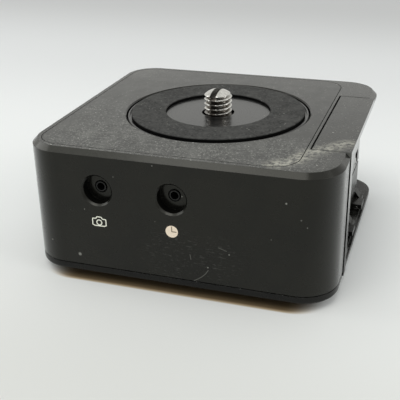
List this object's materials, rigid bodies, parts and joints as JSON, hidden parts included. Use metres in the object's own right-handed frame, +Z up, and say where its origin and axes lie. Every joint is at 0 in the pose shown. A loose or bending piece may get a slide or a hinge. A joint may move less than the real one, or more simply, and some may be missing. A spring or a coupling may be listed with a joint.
{
  "type": "motorised star-tracking turntable",
  "caption": "Square black star-tracking turntable: worm-driven camera platter with a centre screw, front control jacks, fold-out alignment bracket in a side bay, tripod socket below.",
  "frame": {"origin": "on the turntable axis at the underside of the base pad, which stands on the table", "axes": "+Z up along the turntable axis, -Y towards the front with the jacks, +X towards the side bay"},
  "size_m": [0.1002, 0.097, 0.0527],
  "materials": {
    "black_metal": "matt black anodised",
    "panel_metal": "fine matt black anodised",
    "grip_rubber": "matt, finely grained",
    "bright_steel": "turned and polished",
    "dark_steel": "blackened",
    "bronze": "machined",
    "black_plastic": "moulded matt",
    "board_green": "lacquered laminate",
    "cell_wrap": "shrink wrap",
    "light_pipe": "clear moulded"
  },
  "bodies": {
    "body": {"housing": "black_metal", "top_panel": "panel_metal", "base_plate": "black_metal", "base_pad": "grip_rubber", "base_screws": "dark_steel", "tripod_bush": "bronze", "bearing_outer_rings": "bright_steel", "bearing_carrier": "black_plastic", "carrier_screws": "dark_steel", "worm_bushes": "bronze", "motor": "bright_steel", "motor_screws": "dark_steel", "drive_bracket": "black_plastic", "drive_bracket_screws": "dark_steel", "camera_jack": "black_plastic", "timer_jack": "black_plastic", "jack_board": "board_green", "jack_board_chips": "black_plastic", "jack_board_screws": "dark_steel", "control_board": "board_green", "control_board_screws": "dark_steel", "tact_switch": "black_plastic", "usb_socket": "bright_steel", "switch_body": "dark_steel", "status_lights": "light_pipe", "battery": "cell_wrap", "battery_tray": "black_plastic", "hinge_pins": "bright_steel"},
    "turntable": {"platter": "panel_metal", "rubber_ring": "grip_rubber", "camera_screw": "bright_steel", "platter_screws": "dark_steel", "spindle": "bright_steel", "spindle_spacers": "dark_steel", "spindle_nut": "dark_steel", "bearing_inner_rings": "bright_steel", "worm_wheel": "bronze", "wheel_screws": "dark_steel"},
    "ball_cages": {"bearing_balls": "bright_steel", "ball_cages": "bronze"},
    "worm": {"worm": "bright_steel", "shaft_coupling": "dark_steel", "motor_shaft": "bright_steel"},
    "bracket": {"alignment_bracket": "black_metal", "clamp_screw": "bright_steel"},
    "power_slider": {"power_slider": "black_plastic"},
    "start_button": {"start_button": "black_plastic"}
  },
  "joints": [
    {"name": "turntable_spin", "type": "hinge", "parent": "body", "child": "turntable", "pos_m": [0, 0, 0.03], "axis": [0, 0, 1], "continuous": true},
    {"name": "cage_spin", "type": "hinge", "parent": "body", "child": "ball_cages", "pos_m": [0, 0, 0.02], "axis": [0, 0, 1], "continuous": true},
    {"name": "worm_spin", "type": "hinge", "parent": "body", "child": "worm", "pos_m": [-0.029, 0, 0.032], "axis": [0, 1, 0], "continuous": true},
    {"name": "bracket_fold", "type": "hinge", "parent": "body", "child": "bracket", "pos_m": [0.0473, 0, 0.0068], "axis": [0, 1, 0], "range_deg": [0, 90]},
    {"name": "power_slide", "type": "slide", "parent": "body", "child": "power_slider", "axis": [1, 0, 0], "range_m": [0, 0.003]},
    {"name": "start_press", "type": "slide", "parent": "body", "child": "start_button", "axis": [0, -1, 0], "range_m": [0, 0.0008], "stiffness_N_per_m": 400, "springref_m": -0.0005}
  ],
  "couplings": [
    {"joint": "worm_spin", "follows": "turntable_spin", "ratio": 100},
    {"joint": "cage_spin", "follows": "turntable_spin", "ratio": 0.43333}
  ]
}
